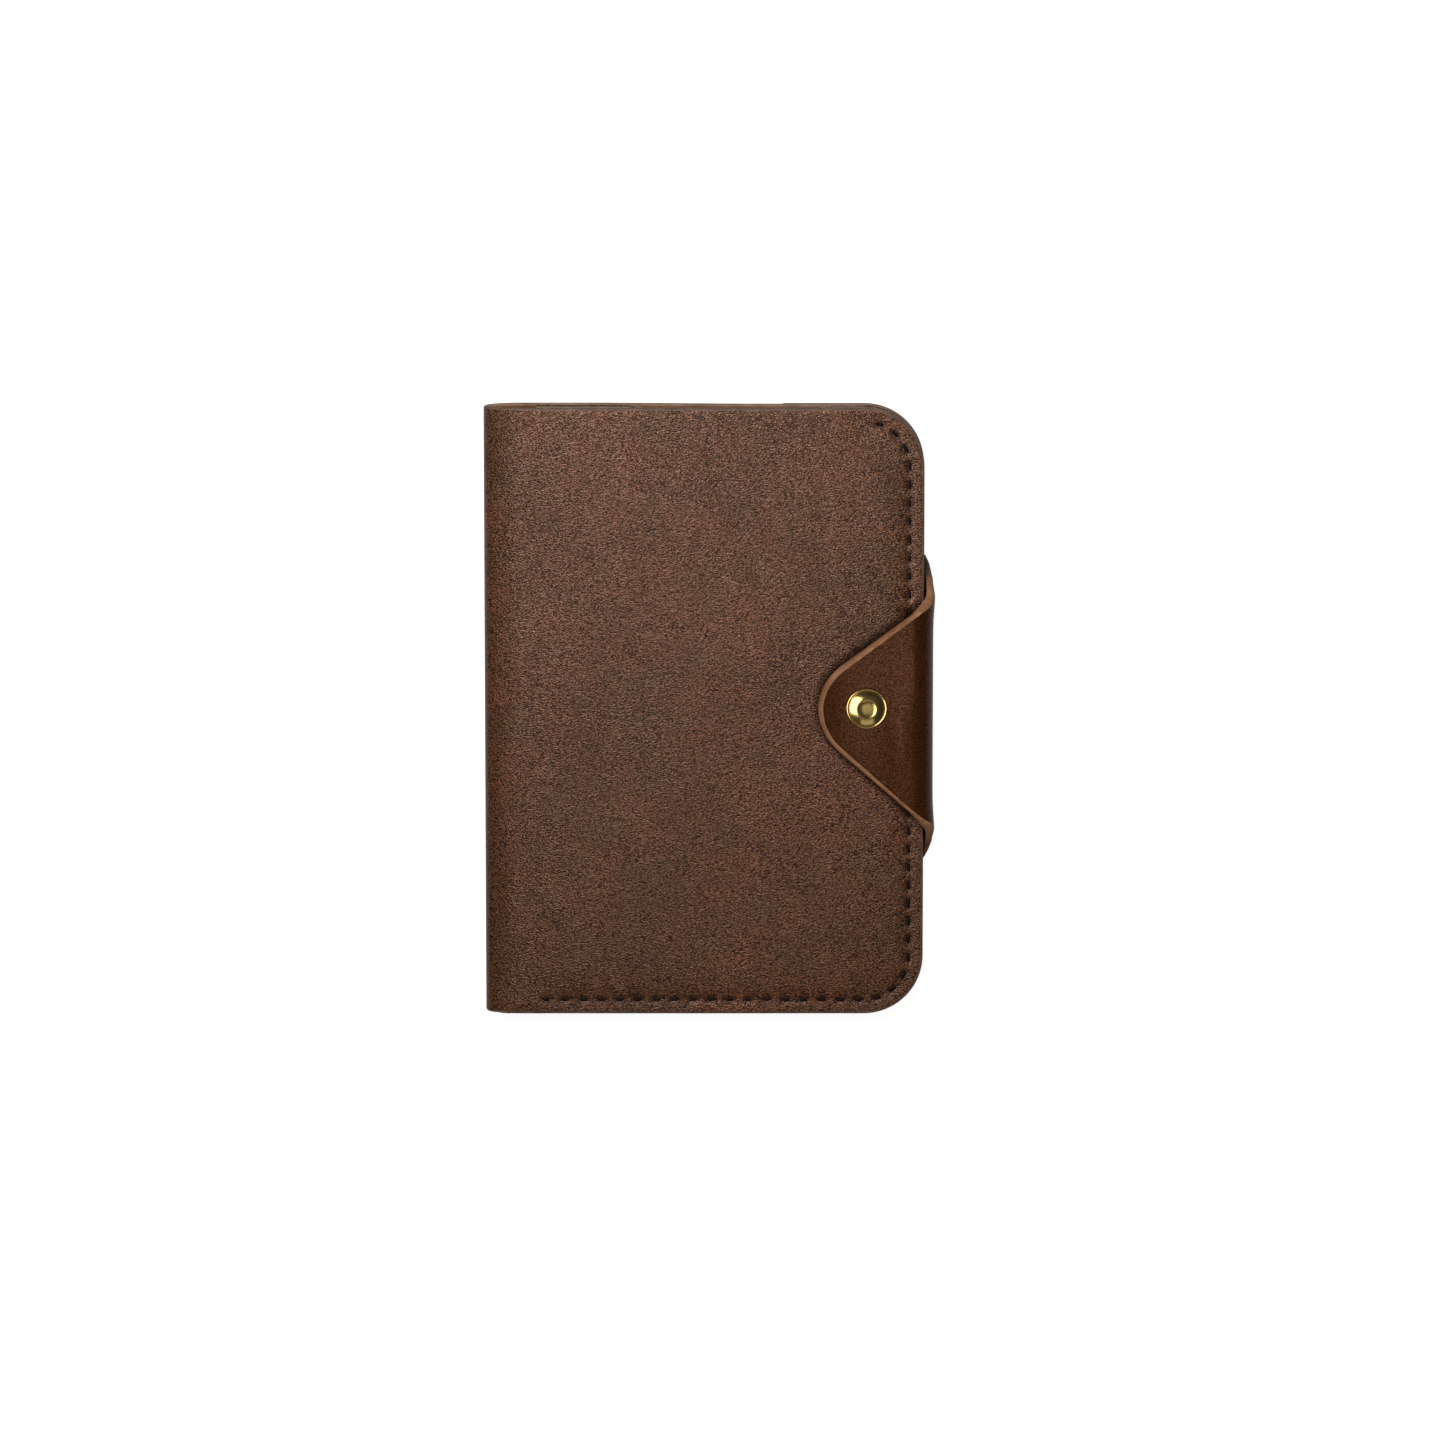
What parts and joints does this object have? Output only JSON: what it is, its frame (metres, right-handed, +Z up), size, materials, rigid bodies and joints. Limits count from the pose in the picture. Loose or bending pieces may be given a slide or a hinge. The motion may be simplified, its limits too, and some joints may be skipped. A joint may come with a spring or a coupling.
{
  "type": "business card case",
  "caption": "Book-style leather card case with pockets in both covers, a wrap-round closure strap and a press stud.",
  "frame": {"origin": "under the middle of the closed case, on the surface it lies on", "axes": "+X from the spine to the cut edge, +Y from the foot to the head, +Z up through the front cover"},
  "size_m": [0.102, 0.14, 0.0163],
  "materials": {
    "cover_leather": "brown vegetable-tanned cowhide, fine grain, soft sheen",
    "pocket_leather": "thin brown cowhide, fine grain",
    "strap_leather": "smooth dark brown cowhide with a raw cut edge",
    "brass": "polished",
    "spring_steel": "drawn wire"
  },
  "bodies": {
    "back_half": {"cover_back": "cover_leather", "back_pocket": "pocket_leather", "back_card_slot": "pocket_leather", "strap_base": "strap_leather"},
    "spine": {"cover_spine": "cover_leather"},
    "front_half": {"cover_front": "cover_leather", "front_pocket": "pocket_leather", "front_card_slot": "pocket_leather", "snap_stud": "brass", "snap_post": "brass"},
    "strap_turn": {"strap_side": "strap_leather"},
    "strap_tab": {"strap_front": "strap_leather", "snap_cap": "brass", "snap_socket": "brass", "snap_spring": "spring_steel"}
  },
  "joints": [
    {"name": "spine_back_fold", "type": "hinge", "parent": "back_half", "child": "spine", "pos_m": [-0.04927, 0, 0.00178], "axis": [0, -1, 0], "range_deg": [0, 90]},
    {"name": "spine_front_fold", "type": "hinge", "parent": "spine", "child": "front_half", "pos_m": [-0.04927, 0, 0.00822], "axis": [0, -1, 0], "range_deg": [0, 90]},
    {"name": "strap_back_fold", "type": "hinge", "parent": "back_half", "child": "strap_turn", "pos_m": [0.05043, 0, 0.00062], "axis": [0, 1, 0], "range_deg": [0, 90]},
    {"name": "strap_front_fold", "type": "hinge", "parent": "strap_turn", "child": "strap_tab", "pos_m": [0.04959, 0, 0.01304], "axis": [0, 1, 0], "range_deg": [0, 90]}
  ],
  "couplings": [
    {"joint": "spine_front_fold", "follows": "spine_back_fold", "ratio": 1}
  ]
}
